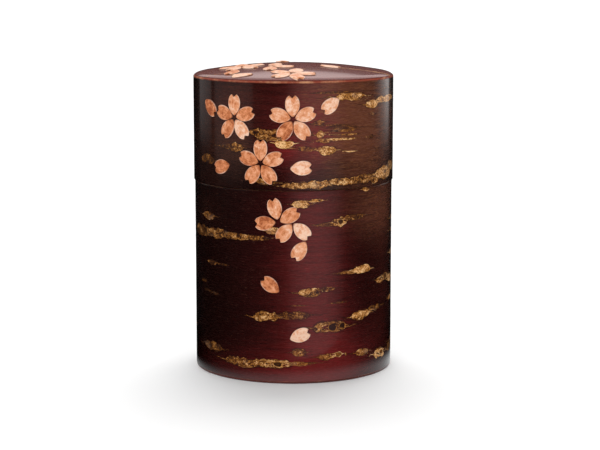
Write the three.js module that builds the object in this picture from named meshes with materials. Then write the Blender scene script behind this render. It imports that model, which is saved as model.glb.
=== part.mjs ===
// A round tea caddy in cherry bark, with raised blossom petals, an outer lid and an inner lid.
// Every wall is built up the way a bark worker builds it: a bent veneer tube, bark glued
// round the outside, bark glued inside, and turned boards closing the ends.
// Millimetres, +Z up, origin at the centre of the base, front facing -Y.
import * as THREE from 'three';

// ---------------------------------------------------------------- driving dimensions
const lidRadius = 40; // outside of the lid's bark
const bodyRadius = 39.6; // the canister is a shade slimmer than its lid
const seamHeight = 75.6; // top edge of the canister's bark
const rimHeight = 117; // top edge of the lid's bark
const shoulderHeight = 1.2; // the crown's rounded edge, up
const shoulderReach = 3; // the crown's rounded edge, inwards
const crownRise = 3.7; // the dome above the shoulder
const neckHeight = 103; // top of the neck that the lid slides over

const glue = 0.05; // glue film between pressed layers
const barkThickness = 0.7;
const liningThickness = 0.5;
const veneerThickness = 1.1;
const lidPlay = 0.15; // lid over the neck, all round
const plugPlay = 0.2; // inner lid in the neck, all round
const seamGap = 0.2; // lid edge above the canister's edge

// ---------------------------------------------------------------- worked-out radii and heights
const lidCoreOuter = lidRadius - barkThickness - glue;
const lidCoreInner = lidCoreOuter - veneerThickness;
const lidLiningOuter = lidCoreInner - glue;
const lidLiningInner = lidLiningOuter - liningThickness;
const neckOuter = lidLiningInner - lidPlay;
const neckInner = neckOuter - veneerThickness;
const neckLiningOuter = neckInner - glue;
const neckLiningInner = neckLiningOuter - liningThickness;
const bodyCoreOuter = bodyRadius - barkThickness - glue;
const bodyCoreInner = neckOuter + glue;

const baseBarkTop = 0.7;
const baseBoardTop = 4.5;
const floorTop = baseBoardTop + glue + liningThickness;
const lidEdge = seamHeight + seamGap;
const ceiling = 112; // underside of the crown board
const plugDepth = 8; // how far the inner lid reaches into the neck
const plugThickness = 1.3;
const discThickness = 1.6;
const discRadius = neckOuter - 0.35;
const discBottom = neckHeight + 0.1;
const discTop = discBottom + discThickness;
const facingTop = discTop + glue + liningThickness;
const pegRadius = 2;

const petalThickness = 0.65; // at the middle
const petalEdge = 0.4; // at the rim of a petal
const petalGap = 0.1; // glue under a petal
const petalLength = 8.6;
const petalHalfWidth = 2.8;
const lobeOffset = 1.1; // the two lobes at a petal's tip, off its centre line
const notchDepth = 1.2;
const petalStart = 0.8; // from a flower's centre to where its petals begin
const petalsPerFlower = 5;

const roundSegments = 48;
const knobSegments = 24;

// ---------------------------------------------------------------- finishes
const finish = (color, roughness) => new THREE.MeshStandardMaterial({ color, roughness, metalness: 0 });
const polishedBark = finish('#3a1714', 0.22);
const liningBark = finish('#4a2a1c', 0.45);
const bareVeneer = finish('#c79f6b', 0.7);
const petalBark = finish('#e0a07c', 0.4);

// ---------------------------------------------------------------- turned pieces
// profile: [radius, height] pairs, anticlockwise with the radius to the right and height up
function turned(name, profile, material, segments = roundSegments) {
  const points = profile.map(([radius, height]) => new THREE.Vector2(radius, height));
  const geometry = new THREE.LatheGeometry(points, segments);
  geometry.rotateX(Math.PI / 2);
  const mesh = new THREE.Mesh(geometry, material);
  mesh.name = name;
  return mesh;
}

function tube(name, inner, outer, bottom, top, material) {
  return turned(name, [[inner, bottom], [outer, bottom], [outer, top], [inner, top], [inner, bottom]], material);
}

function disc(name, radius, bottom, top, material) {
  return turned(name, [[0, bottom], [radius, bottom], [radius, top], [0, top]], material);
}

function ring(name, hole, radius, bottom, top, material) {
  return tube(name, hole, radius, bottom, top, material);
}

// ---------------------------------------------------------------- the crown
// Height of the crown's upper face at a distance from the axis.
function crownHeight(radius) {
  const intoShoulder = Math.min(Math.max(radius - (lidRadius - shoulderReach), 0) / shoulderReach, 1);
  const shoulder = shoulderHeight * Math.sqrt(1 - intoShoulder ** 2);
  return rimHeight + glue + shoulder + crownRise * (1 - (radius / lidRadius) ** 2);
}

// The crown's outline from the rim to the axis, set in by a layer. It never dips below the rim.
function crownOutline(setIn) {
  const scale = (lidRadius - setIn) / lidRadius;
  const shoulder = [30, 60, 90].map((degrees) => {
    return lidRadius - shoulderReach * (1 - Math.cos(THREE.MathUtils.degToRad(degrees)));
  });
  const dome = [30, 20, 10, 0];
  const above = [...shoulder, ...dome].map((radius) => [radius * scale, crownHeight(radius) - setIn]);
  const lowest = rimHeight + glue;
  return [[lidRadius - setIn, lowest], ...above.filter(([, height]) => height > lowest + 0.1)];
}

function crownBark() {
  const outer = crownOutline(0);
  const inner = crownOutline(barkThickness).reverse();
  return turned('crown_bark', [...inner, ...outer], polishedBark);
}

function crownBoard() {
  const plugRadius = lidCoreInner - glue;
  const underFlange = rimHeight + glue;
  const top = crownOutline(barkThickness + glue);
  return turned('crown_board', [[0, ceiling], [plugRadius, ceiling], [plugRadius, underFlange], ...top], bareVeneer);
}

// ---------------------------------------------------------------- petals
// Half width of a petal from its base (0) to its tip (1): slender foot, full shoulders, two lobes.
const petalStations = [0, 0.13, 0.3, 0.5, 0.7, 0.87, 1];
function petalHalfWidthAt(station) {
  if (station === 0) return 0.3;
  if (station === 1) return lobeOffset;
  return petalHalfWidth * Math.sin(Math.PI * Math.min(station / 1.18, 1)) ** 0.8;
}

// A pillowed petal lying flat: base near the origin, tip along +X, then turned to its direction.
function petalGeometry(turn) {
  const across = [-1, 0, 1];
  const positions = [];
  for (const upper of [false, true]) {
    for (const station of petalStations) {
      for (const side of across) {
        const x = station * (petalLength - notchDepth * (1 - Math.abs(side)));
        const y = side * petalHalfWidthAt(station);
        const middle = side === 0 && station > 0 && station < 1;
        const z = upper ? (middle ? petalThickness : petalEdge) : 0;
        positions.push(x, y, z);
      }
    }
  }
  const columns = across.length;
  const layer = petalStations.length * columns;
  const at = (upper, row, column) => (upper ? layer : 0) + row * columns + column;
  const faces = [];
  const quad = (a, b, c, d) => faces.push(a, b, c, a, c, d);
  const lastRow = petalStations.length - 1;
  for (let row = 0; row < lastRow; row++) {
    for (let column = 0; column < columns - 1; column++) {
      quad(at(1, row, column), at(1, row + 1, column), at(1, row + 1, column + 1), at(1, row, column + 1));
      quad(at(0, row, column), at(0, row, column + 1), at(0, row + 1, column + 1), at(0, row + 1, column));
    }
    quad(at(0, row, 0), at(0, row + 1, 0), at(1, row + 1, 0), at(1, row, 0));
    quad(at(0, row + 1, 2), at(0, row, 2), at(1, row, 2), at(1, row + 1, 2));
  }
  for (let column = 0; column < columns - 1; column++) {
    quad(at(0, 0, column + 1), at(0, 0, column), at(1, 0, column), at(1, 0, column + 1));
    quad(at(0, lastRow, column), at(0, lastRow, column + 1), at(1, lastRow, column + 1), at(1, lastRow, column));
  }
  const geometry = new THREE.BufferGeometry();
  geometry.setAttribute('position', new THREE.Float32BufferAttribute(positions, 3));
  geometry.setIndex(faces);
  geometry.rotateZ(THREE.MathUtils.degToRad(turn));
  return geometry;
}

function namedPetal(name, geometry) {
  const mesh = new THREE.Mesh(geometry, petalBark);
  mesh.name = name;
  return mesh;
}

// A petal bent round the wall. around: degrees from the front, towards +X. turn: 0 points that way, 90 up.
function wallPetal(name, wallRadius, around, height, turn) {
  const geometry = petalGeometry(turn);
  const place = geometry.getAttribute('position');
  for (let i = 0; i < place.count; i++) {
    const radius = wallRadius + petalGap + place.getZ(i);
    const angle = place.getX(i) / wallRadius;
    place.setXYZ(i, radius * Math.sin(angle), -radius * Math.cos(angle), place.getY(i));
  }
  geometry.computeVertexNormals();
  const petal = namedPetal(name, geometry);
  petal.rotation.z = THREE.MathUtils.degToRad(around);
  petal.position.z = height;
  return petal;
}

// A petal laid over the crown. turn: 0 points to +X, 90 to the back.
function crownPetal(name, x, y, turn) {
  const geometry = petalGeometry(turn);
  const place = geometry.getAttribute('position');
  for (let i = 0; i < place.count; i++) {
    const px = place.getX(i) + x;
    const py = place.getY(i) + y;
    place.setXYZ(i, px, py, crownHeight(Math.hypot(px, py)) + petalGap + place.getZ(i));
  }
  geometry.computeVertexNormals();
  return namedPetal(name, geometry);
}

// Calls place(name, across, along, turn) for each petal of a flower, offsets in mm from its centre.
function eachFlowerPetal(flower, place) {
  for (let i = 0; i < petalsPerFlower; i++) {
    const turn = flower.turn + (360 / petalsPerFlower) * i;
    const angle = THREE.MathUtils.degToRad(turn);
    place(`${flower.name}_petal_${i + 1}`, petalStart * Math.cos(angle), petalStart * Math.sin(angle), turn);
  }
}

const lidFlowers = [
  { name: 'left_flower', around: -34.4, height: 103.2, turn: 90 },
  { name: 'middle_flower', around: -0.2, height: 103.2, turn: 92 },
  { name: 'lower_flower', around: -18.3, height: 86.2, turn: 90 },
];
const lidLoosePetals = [
  { name: 'lid_loose_petal_1', around: -58.4, height: 109.1, turn: -37 },
  { name: 'lid_loose_petal_2', around: 25.8, height: 110.9, turn: 216 },
  { name: 'lid_loose_petal_3', around: -37.7, height: 84.9, turn: 193 },
  { name: 'lid_loose_petal_4', around: -1.9, height: 84.3, turn: 3 },
];
const bodyPetals = [
  { name: 'body_flower_petal_1', around: -8.8, height: 64.5, turn: 104 },
  { name: 'body_flower_petal_2', around: -7.4, height: 63.7, turn: 32 },
  { name: 'body_flower_petal_3', around: -9.8, height: 63.5, turn: 186 },
  { name: 'body_flower_petal_4', around: -0.9, height: 62.9, turn: 231 },
  { name: 'body_flower_petal_5', around: 0.1, height: 63.1, turn: -43 },
  { name: 'body_loose_petal_1', around: 6.9, height: 56.1, turn: 237 },
  { name: 'body_loose_petal_2', around: -8, height: 36.2, turn: 142 },
  { name: 'body_loose_petal_3', around: -2.1, height: 17.7, turn: 21 },
];
const crownFlowers = [
  { name: 'crown_front_flower', x: -0.5, y: -30.4, turn: 2 },
  { name: 'crown_left_flower', x: -20.4, y: -8.5, turn: 20 },
];
const crownLoosePetals = [
  { name: 'crown_loose_petal_1', x: -8.6, y: -14.6, turn: 264 },
  { name: 'crown_loose_petal_2', x: -8.4, y: -13, turn: 75 },
  { name: 'crown_loose_petal_3', x: -7.8, y: -14.4, turn: -6 },
  { name: 'crown_loose_petal_4', x: -21.9, y: -17.4, turn: 246 },
  { name: 'crown_loose_petal_5', x: -15.4, y: -29, turn: 180 },
  { name: 'crown_loose_petal_6', x: 10.4, y: -10, turn: 340 },
  { name: 'crown_loose_petal_7', x: -4.4, y: 15, turn: 270 },
];

// ---------------------------------------------------------------- canister
const canister = new THREE.Group();
canister.add(
  disc('base_bark', bodyRadius - 0.15, 0, baseBarkTop, polishedBark),
  disc('base_board', bodyCoreInner - glue, baseBarkTop + glue, baseBoardTop, bareVeneer),
  tube('body_core_tube', bodyCoreInner, bodyCoreOuter, baseBarkTop + glue, seamHeight, bareVeneer),
  tube('body_bark_wrap', bodyCoreOuter + glue, bodyRadius, baseBarkTop + glue, seamHeight, polishedBark),
  tube('neck_sleeve', neckInner, neckOuter, baseBoardTop + glue, neckHeight, bareVeneer),
  tube('neck_lining', neckLiningInner, neckLiningOuter, baseBoardTop + glue, neckHeight, liningBark),
  disc('floor_lining', neckLiningInner - glue, baseBoardTop + glue, floorTop, liningBark),
);
for (const petal of bodyPetals) {
  canister.add(wallPetal(petal.name, bodyRadius, petal.around, petal.height, petal.turn));
}

// ---------------------------------------------------------------- inner lid
const innerLid = new THREE.Group();
const plugOuter = neckLiningInner - plugPlay;
const knobFoot = facingTop + glue;
const knobProfile = [
  [0, discBottom], [pegRadius - glue, discBottom], [pegRadius - glue, knobFoot], [4, knobFoot], [3.4, knobFoot + 1.6],
  [6.6, knobFoot + 3.2], [7, knobFoot + 4.2], [6, knobFoot + 5.2], [0, knobFoot + 5.6],
];
innerLid.add(
  tube('inner_lid_plug', plugOuter - plugThickness, plugOuter, discBottom - glue - plugDepth, discBottom - glue, bareVeneer),
  ring('inner_lid_disc', pegRadius, discRadius, discBottom, discTop, bareVeneer),
  ring('inner_lid_facing', pegRadius, discRadius, discTop + glue, facingTop, polishedBark),
  turned('inner_lid_knob', knobProfile, polishedBark, knobSegments),
);

// ---------------------------------------------------------------- lid
const lid = new THREE.Group();
lid.add(
  tube('lid_core_tube', lidCoreInner, lidCoreOuter, lidEdge, rimHeight, bareVeneer),
  tube('lid_bark_wrap', lidCoreOuter + glue, lidRadius, lidEdge, rimHeight, polishedBark),
  tube('lid_lining', lidLiningInner, lidLiningOuter, lidEdge, ceiling - glue, liningBark),
  crownBoard(),
  crownBark(),
);
for (const flower of lidFlowers) {
  eachFlowerPetal(flower, (name, across, up, turn) => {
    const around = flower.around + THREE.MathUtils.radToDeg(across / lidRadius);
    lid.add(wallPetal(name, lidRadius, around, flower.height + up, turn));
  });
}
for (const petal of lidLoosePetals) {
  lid.add(wallPetal(petal.name, lidRadius, petal.around, petal.height, petal.turn));
}
for (const flower of crownFlowers) {
  eachFlowerPetal(flower, (name, across, back, turn) => {
    lid.add(crownPetal(name, flower.x + across, flower.y + back, turn));
  });
}
for (const petal of crownLoosePetals) lid.add(crownPetal(petal.name, petal.x, petal.y, petal.turn));

const teaCaddy = new THREE.Group();
teaCaddy.add(canister, innerLid, lid);
export default teaCaddy;
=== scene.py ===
# A round tea caddy in polished cherry bark with blossom petals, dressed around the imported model.
import math

import bpy
import numpy as np
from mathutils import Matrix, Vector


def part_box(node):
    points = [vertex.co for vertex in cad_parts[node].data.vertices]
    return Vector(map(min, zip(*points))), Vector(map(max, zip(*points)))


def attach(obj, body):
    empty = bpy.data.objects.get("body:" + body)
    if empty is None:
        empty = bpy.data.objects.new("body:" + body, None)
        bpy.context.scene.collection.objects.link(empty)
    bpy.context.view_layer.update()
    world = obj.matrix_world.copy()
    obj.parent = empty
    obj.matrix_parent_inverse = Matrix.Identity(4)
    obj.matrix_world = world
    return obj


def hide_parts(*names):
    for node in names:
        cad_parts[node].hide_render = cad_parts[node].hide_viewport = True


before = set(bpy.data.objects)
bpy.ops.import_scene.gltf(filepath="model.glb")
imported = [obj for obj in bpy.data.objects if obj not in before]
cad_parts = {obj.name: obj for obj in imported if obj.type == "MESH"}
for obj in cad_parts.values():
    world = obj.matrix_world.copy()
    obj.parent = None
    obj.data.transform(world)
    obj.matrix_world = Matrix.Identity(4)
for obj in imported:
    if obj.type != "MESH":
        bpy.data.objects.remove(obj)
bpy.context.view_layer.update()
print("frame loaded")

mm = 0.001


# a socket that sums can be written with, in shader trees and in Geometry Nodes trees
class Wire:
    def __init__(self, graph, socket):
        self.graph = graph
        self.socket = socket

    def __add__(self, other):
        return self.graph.math("ADD", self, other)

    __radd__ = __add__

    def __sub__(self, other):
        return self.graph.math("SUBTRACT", self, other)

    def __rsub__(self, other):
        return self.graph.math("SUBTRACT", other, self)

    def __mul__(self, other):
        return self.graph.math("MULTIPLY", self, other)

    __rmul__ = __mul__

    def __truediv__(self, other):
        return self.graph.math("DIVIDE", self, other)

    def __rtruediv__(self, other):
        return self.graph.math("DIVIDE", other, self)

    def __pow__(self, other):
        return self.graph.math("POWER", self, other)

    def __gt__(self, other):
        return self.graph.math("GREATER_THAN", self, other)

    def __neg__(self):
        return self.graph.math("MULTIPLY", self, -1.0)

    def __abs__(self):
        return self.graph.math("ABSOLUTE", self)


class Graph:
    def __init__(self, tree):
        self.tree = tree

    # settings go on the node first, and inputs are values or wires by socket name or number
    def add(self, kind, settings=None, inputs=None, output=0):
        node = self.tree.nodes.new(kind)
        for name, value in (settings or {}).items():
            if name == "stops":
                ramp = node.color_ramp
                while len(ramp.elements) < len(value):
                    ramp.elements.new(0.5)
                for element, (place, colour) in zip(ramp.elements, value):
                    element.position = place
                    element.color = (*colour, 1.0)
            elif name == "curve":
                points = node.mapping.curves[0].points
                for point, place in zip(points, value):
                    point.location = place
                for place in value[len(points):]:
                    points.new(*place)
                node.mapping.update()
            else:
                setattr(node, name, value)
        for name, value in (inputs or {}).items():
            if isinstance(value, Wire):
                self.tree.links.new(value.socket, node.inputs[name])
            else:
                node.inputs[name].default_value = value
        return Wire(self, node.outputs[output]) if node.outputs else None

    def math(self, operation, *values):
        return self.add("ShaderNodeMath", {"operation": operation}, dict(enumerate(values)))

    def vector(self, operation, *values):
        return self.add("ShaderNodeVectorMath", {"operation": operation}, dict(enumerate(values)))

    def combine(self, x, y, z):
        return self.add("ShaderNodeCombineXYZ", inputs={"X": x, "Y": y, "Z": z})

    def separate(self, vector):
        node = self.add("ShaderNodeSeparateXYZ", inputs={0: vector}).socket.node
        return [Wire(self, socket) for socket in node.outputs]

    # 0 below low, 1 above high, soft between
    def soften(self, value, low, high):
        return self.add("ShaderNodeMapRange", {"interpolation_type": "SMOOTHSTEP"},
                        {"Value": value, "From Min": low, "From Max": high})

    def blendColour(self, factor, first, second):
        settings = {"data_type": "RGBA", "clamp_result": True}
        first = first if isinstance(first, Wire) else (*first, 1.0)
        second = second if isinstance(second, Wire) else (*second, 1.0)
        return self.add("ShaderNodeMix", settings, {0: factor, 6: first, 7: second}, 2)

    # scale is in patches for each millimetre where vector is in millimetres
    def noise(self, vector, scale, detail=4.0, roughness=0.55, distortion=0.0):
        return self.add("ShaderNodeTexNoise", inputs={
            "Vector": vector, "Scale": scale, "Detail": detail, "Roughness": roughness,
            "Distortion": distortion})

    def ramp(self, factor, stops):
        return self.add("ShaderNodeValToRGB", {"stops": stops}, {"Fac": factor})


# object coordinates in millimetres, stretched by a scale for each axis
def millimetres(graph, scale=(1.0, 1.0, 1.0)):
    place = graph.add("ShaderNodeTexCoord", output="Object")
    return graph.add("ShaderNodeMapping", inputs={
        "Vector": place, "Scale": tuple(s / mm for s in scale)})


# the emptied nodes of a material, a lamp or a world
def emptyGraph(owner):
    owner.use_nodes = True
    owner.node_tree.nodes.clear()
    return Graph(owner.node_tree)


def newMaterial(name):
    material = bpy.data.materials.new(name)
    return material, emptyGraph(material)


def finishMaterial(material, graph, inputs):
    shader = graph.add("ShaderNodeBsdfPrincipled", inputs=inputs)
    graph.add("ShaderNodeOutputMaterial", inputs={"Surface": shader})
    return material


# depth is in metres
def bump(graph, height, depth):
    return graph.add("ShaderNodeBump", inputs={"Height": height, "Distance": depth, "Strength": 1.0})


# a new object in the scene
def newObject(name, data):
    made = bpy.data.objects.new(name, data)
    bpy.context.collection.objects.link(made)
    return made


camera = {"place": (0.00066, -0.7277, 0.1702), "pitchDown": 8.89, "turnRight": 0.157, "lens": 108.97}
cameraData = bpy.data.cameras.new("camera")
cameraData.lens = camera["lens"]
cameraObject = newObject("camera", cameraData)
cameraObject.location = camera["place"]
cameraObject.rotation_euler = (
    math.radians(90 - camera["pitchDown"]), 0.0, -math.radians(camera["turnRight"]))
bpy.context.scene.camera = cameraObject
bpy.context.scene.view_settings.view_transform = "Standard"

studio = {
    "floorSize": 12.0,
    "floorColour": (0.95, 0.95, 0.95),
    "floorMottle": (0.9, 0.9, 0.9),
    "background": 1.0,  # what the camera sees beyond the floor
    "ambient": 0.67,  # soft light from all round
    "reflected": 0.004,  # the dark room that the gloss reflects
    # the pale floor close round the base, as the polish sees it: white out to near, gone by far
    "floorGlow": {
        "halfWidth": 0.08, "height": 0.0002, "middle": (0.006, -0.01, 0.0),
        "near": 0.037, "far": 0.055, "strength": 0.75,
    },
    # very soft suns: direction the light comes from, watts per square metre, spread in degrees
    "suns": {
        "skylight": ((0.05, 0.6, 0.8), 2.1, 55.0),
        "frontFill": ((-0.1, -0.95, 0.25), 0.75, 60.0),
    },
    # panels that only the gloss sees:
    # place, aimed at, width, height, power in watts, colour, fade across and upwards
    "panels": {
        "backPanel": ((0, 0.815, 0.905), (0, 0, 0.1), 1.2, 1.2, 4.2,
                      (1, 0.8, 0.78), "edges", "edges"),
        "backLow": ((0, 1, 0.28), (0, 0, 0.1), 1.2, 0.3, 0.12,
                    (1, 0.42, 0.38), "edges", "edges"),
        "leftNear": ((-0.476, -0.155, 0.285), (0, 0, 0.285), 0.53, 0.546, 0.19,
                     (1, 0.9, 0.88), "edges", "edges"),
        "leftFar": ((-0.3725, 0.194, 0.3), (0, 0, 0.3), 0.22, 0.51, 0.11,
                    (1, 0.88, 0.86), "edges", "edges"),
        "rightPanel": ((0.367, 0.204, 0.13), (0, 0, 0.13), 0.306, 0.18, 0.49,
                       (1, 0.95, 0.93), "rising", "both"),
        "frontRight": ((0.373, -0.764, 0.05), (0, 0, 0.05), 1.23, 0.76, 1,
                       (1, 1, 1), "both", "edges"),
    },
}
fades = {
    "edgePower": 6, "edgePeak": 1.15,  # even, and soft only near both edges
    "bothPower": 1.4,  # strongest in the middle, falling off both ways
    "risingPower": 1.3, "endPower": 10, "risingPeak": 1.1,  # climbing almost to the far end
}


# how bright a panel is at a place that runs from 0 to 1 between two of its edges
def panelFade(place, kind):
    middle = place * (1 - place) * 4
    if kind == "edges":
        return fades["edgePeak"] - fades["edgePeak"] * (1 - middle) ** fades["edgePower"]
    if kind == "both":
        return middle ** fades["bothPower"]
    return place ** fades["risingPower"] * (1 - place ** fades["endPower"]) * fades["risingPeak"]


# adds a lamp that shines along a direction
def addLamp(name, light, direction):
    lamp = newObject(name, light)
    x, y, z = direction
    lamp.rotation_euler = (math.atan2(math.hypot(x, y), -z), 0.0, math.atan2(y, x) - math.pi / 2)
    return lamp


for name, (place, aim, width, height, power, colour, fadeAcross, fadeUp) in studio["panels"].items():
    light = bpy.data.lights.new(name, "AREA")
    light.shape = "RECTANGLE"
    light.size = width
    light.size_y = height
    light.energy = power
    light.color = colour
    panel = emptyGraph(light)
    across, up = panel.separate(panel.add("ShaderNodeNewGeometry", output="Parametric"))[:2]
    brightness = panelFade(across, fadeAcross) * panelFade(up, fadeUp)
    panel.add("ShaderNodeOutputLight", inputs={
        "Surface": panel.add("ShaderNodeEmission", inputs={"Strength": brightness})})
    lamp = addLamp(name, light, [a - b for a, b in zip(aim, place)])
    lamp.location = place
    lamp.visible_camera = lamp.visible_diffuse = False

for name, (comesFrom, strength, spread) in studio["suns"].items():
    light = bpy.data.lights.new(name, "SUN")
    light.energy = strength
    light.angle = math.radians(spread)
    lamp = addLamp(name, light, [-part for part in comesFrom])
    lamp.visible_glossy = False

world = bpy.data.worlds.new("studio")
bpy.context.scene.world = world
world.cycles.sampling_method = "NONE"
sky = emptyGraph(world)
seen = sky.add("ShaderNodeLightPath", output="Is Camera Ray")
mirrored = sky.add("ShaderNodeLightPath", output="Is Glossy Ray")
strength = (seen * studio["background"] + mirrored * studio["reflected"]
            + (1 - seen - mirrored) * studio["ambient"])
sky.add("ShaderNodeOutputWorld", inputs={
    "Surface": sky.add("ShaderNodeBackground", inputs={"Color": (1, 1, 1, 1), "Strength": strength})})

floorMaterial, graph = newMaterial("paleFloor")
mottle = graph.noise(millimetres(graph), 0.05)
finishMaterial(floorMaterial, graph, {
    "Base Color": graph.blendColour(mottle * 0.1, studio["floorColour"], studio["floorMottle"]),
    "Roughness": 0.9, "Specular IOR Level": 0.1})


# a flat square on the ground or just above it, which isn't part of the object
def groundSheet(name, half, height, material):
    mesh = bpy.data.meshes.new(name)
    mesh.from_pydata([(x * half, y * half, height) for x, y in ((-1, -1), (1, -1), (1, 1), (-1, 1))],
                     [], [(0, 1, 2, 3)])
    mesh.materials.append(material)
    sheet = newObject(name, mesh)
    return sheet


floor = groundSheet("floor", studio["floorSize"] / 2, 0.0, floorMaterial)
floor.visible_glossy = False

floorGlow = studio["floorGlow"]
glowMaterial, graph = newMaterial("floorGlow")
place = graph.vector(
    "SUBTRACT", graph.add("ShaderNodeTexCoord", output="Object"), floorGlow["middle"])
away = graph.add("ShaderNodeVectorMath", {"operation": "LENGTH"}, {0: place}, "Value")
white = graph.soften(away, floorGlow["far"], floorGlow["near"])
finishMaterial(glowMaterial, graph, {
    "Base Color": (0, 0, 0, 1), "Roughness": 1.0, "Specular IOR Level": 0.0,
    "Emission Color": graph.blendColour(white, (0, 0, 0), (1, 1, 1)),
    "Emission Strength": floorGlow["strength"]})
mirroredFloor = groundSheet("mirroredFloor", floorGlow["halfWidth"], floorGlow["height"], glowMaterial)
mirroredFloor.visible_camera = mirroredFloor.visible_diffuse = mirroredFloor.visible_shadow = False
mirroredFloor.visible_transmission = False
print("camera and studio ready")


# a node's outer radius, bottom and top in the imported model, in millimetres
def measured(node):
    low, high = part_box(node)
    return high[0] / mm, low[2] / mm, high[2] / mm


bodyRadius, bodyBottom, seamHeight = measured("body_bark_wrap")
lidRadius, lidEdge, rimHeight = measured("lid_bark_wrap")
crownBottom, crownTop = measured("crown_bark")[1:]
ceiling = measured("crown_board")[1]
facingTop = measured("inner_lid_facing")[2]
knobBottom, knobTop = measured("inner_lid_knob")[1:]
glueGap = 0.05  # mm between pieces that are glued or pushed together


# the inner radius of what lies round a node
def roundOutside(node):
    return measured(node)[0] + glueGap


# a Geometry Nodes tree with a geometry input and the named inputs, and its wires by name
def newGeometryTree(name, inputs):
    tree = bpy.data.node_groups.new(name, "GeometryNodeTree")
    for label, kind in [("Geometry", "Geometry"), *inputs]:
        tree.interface.new_socket(label, in_out="INPUT", socket_type="NodeSocket" + kind)
    tree.interface.new_socket("Geometry", in_out="OUTPUT", socket_type="NodeSocketGeometry")
    graph = Graph(tree)
    start = tree.nodes.new("NodeGroupInput")
    return tree, graph, {socket.name: Wire(graph, socket) for socket in start.outputs if socket.name}


# a flat grid, with wires that give each vertex its row and its place along the row
def numberedGrid(graph, rows, perRow):
    grid = graph.add("GeometryNodeMeshGrid", inputs={"Vertices X": rows, "Vertices Y": perRow})
    index = graph.add("GeometryNodeInputIndex")
    row = graph.math("FLOOR", (index + 0.5) / perRow)
    return grid, row, index - row * perRow


# merges what meets, turns the faces outward, smooths them, puts the material on and ends the tree
def closeTree(graph, geometry, material, nearby=0.01 * mm):
    merged = graph.add("GeometryNodeMergeByDistance", inputs={"Geometry": geometry, "Distance": nearby})
    outward = graph.add("GeometryNodeFlipFaces", inputs={"Mesh": merged})
    smooth = graph.add("GeometryNodeSetShadeSmooth", inputs={"Geometry": outward, "Shade Smooth": True})
    plain = graph.add("GeometryNodeRealizeInstances", inputs={"Geometry": smooth})
    finished = graph.add("GeometryNodeSetMaterial", inputs={"Geometry": plain, "Material": material})
    graph.tree.links.new(finished.socket, graph.tree.nodes.new("NodeGroupOutput").inputs[0])


# runs the tree on some points, with attributes, and returns the finished plain object
def grown(name, tree, points, values, attributes=None):
    source = bpy.data.meshes.new(name + "Points")
    source.from_pydata(points, [], [])
    for label, numbers in (attributes or {}).items():
        source.attributes.new(label, "FLOAT", "POINT").data.foreach_set("value", numbers)
    holder = newObject(name + "Points", source)
    modifier = holder.modifiers.new("build", "NODES")
    modifier.node_group = tree
    for item in tree.interface.items_tree:
        if item.in_out == "INPUT" and item.name in values:
            modifier[item.identifier] = values[item.name]
    evaluated = holder.evaluated_get(bpy.context.evaluated_depsgraph_get())
    mesh = bpy.data.meshes.new_from_object(evaluated)
    mesh.name = name
    holder.modifiers.remove(modifier)
    bpy.data.objects.remove(holder)
    return newObject(name, mesh)


# turned shells: an outline of radius and height, spun round the axis
turnedTree, graph, given = newGeometryTree("turnedShell", [("Around", "Int"), ("Material", "Material")])
count = graph.add("GeometryNodeAttributeDomainSize", {"component": "MESH"}, {0: given["Geometry"]})
sheetGrid, row, place = numberedGrid(graph, given["Around"] + 1, count)
outline = graph.add("GeometryNodeSampleIndex", {"data_type": "FLOAT_VECTOR", "domain": "POINT"}, {
    "Geometry": given["Geometry"], "Value": graph.add("GeometryNodeInputPosition"), "Index": place})
radius, height = graph.separate(outline)[::2]
angle = row / given["Around"] * (2 * math.pi)
spun = graph.combine(radius * graph.math("SINE", angle), radius * graph.math("COSINE", angle), height)
closeTree(graph, graph.add("GeometryNodeSetPosition", inputs={"Geometry": sheetGrid, "Position": spun}),
          given["Material"])


corners = {
    "points": 5,  # along each rounded corner
    "mostOfSide": 0.4,  # a corner takes at most this share of the sides that meet there
    "support": 1.25,  # how far out the support points lie, as a share of the rounding
}


# rounds an outline's corners, and keeps a support point by each so that flat faces stay flat
def softCorners(outline, rounding, closed=True):
    outline = np.array(outline, float)
    points = []
    for i, corner in enumerate(outline):
        if not closed and i in (0, len(outline) - 1):
            points.append(tuple(corner))
            continue
        before, after = outline[i - 1], outline[(i + 1) % len(outline)]
        sideBefore, sideAfter = np.linalg.norm(before - corner), np.linalg.norm(after - corner)
        cut = min(rounding, corners["mostOfSide"] * sideBefore, corners["mostOfSide"] * sideAfter)
        inward = (before - corner) / sideBefore * cut
        onward = (after - corner) / sideAfter * cut
        points.append(tuple(corner + corners["support"] * inward))
        for t in np.linspace(0, 1, corners["points"]):
            points.append(tuple(corner + (1 - t) ** 2 * inward + t ** 2 * onward))
        points.append(tuple(corner + corners["support"] * onward))
    return points + [points[0]] if closed else points


# adds points along an outline's long stretches that lie outside a radius
def denser(points, spacing, outside):
    made = [points[0]]
    for start, end in zip(points, points[1:]):
        length = math.dist(start, end)
        steps = max(1, round(length / spacing)) if min(start[0], end[0]) >= outside else 1
        for step in range(1, steps + 1):
            made.append(tuple(a + (b - a) * step / steps for a, b in zip(start, end)))
    return made


def turnedPiece(name, outline, material, body, node, around=120):
    piece = grown(name, turnedTree, [(r * mm, 0.0, h * mm) for r, h in outline],
                  {"Around": around, "Material": material})
    piece.data.materials.clear()
    piece.data.materials.append(material)
    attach(piece, body)
    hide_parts(node)
    return piece


def ring(inner, outer, bottom, top):
    return [(inner, bottom), (outer, bottom), (outer, top), (inner, top)]


def disc(outer, bottom, top):
    return ring(0.0, outer, bottom, top)


tube = {"rounding": 0.15, "around": 144}


# a plain tube as long and as wide as its node, with its own inner radius
def plainTube(name, inner, material, body, node):
    turnedPiece(name, softCorners(ring(inner, *measured(node)), tube["rounding"]),
                material, body, node, tube["around"])


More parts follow.
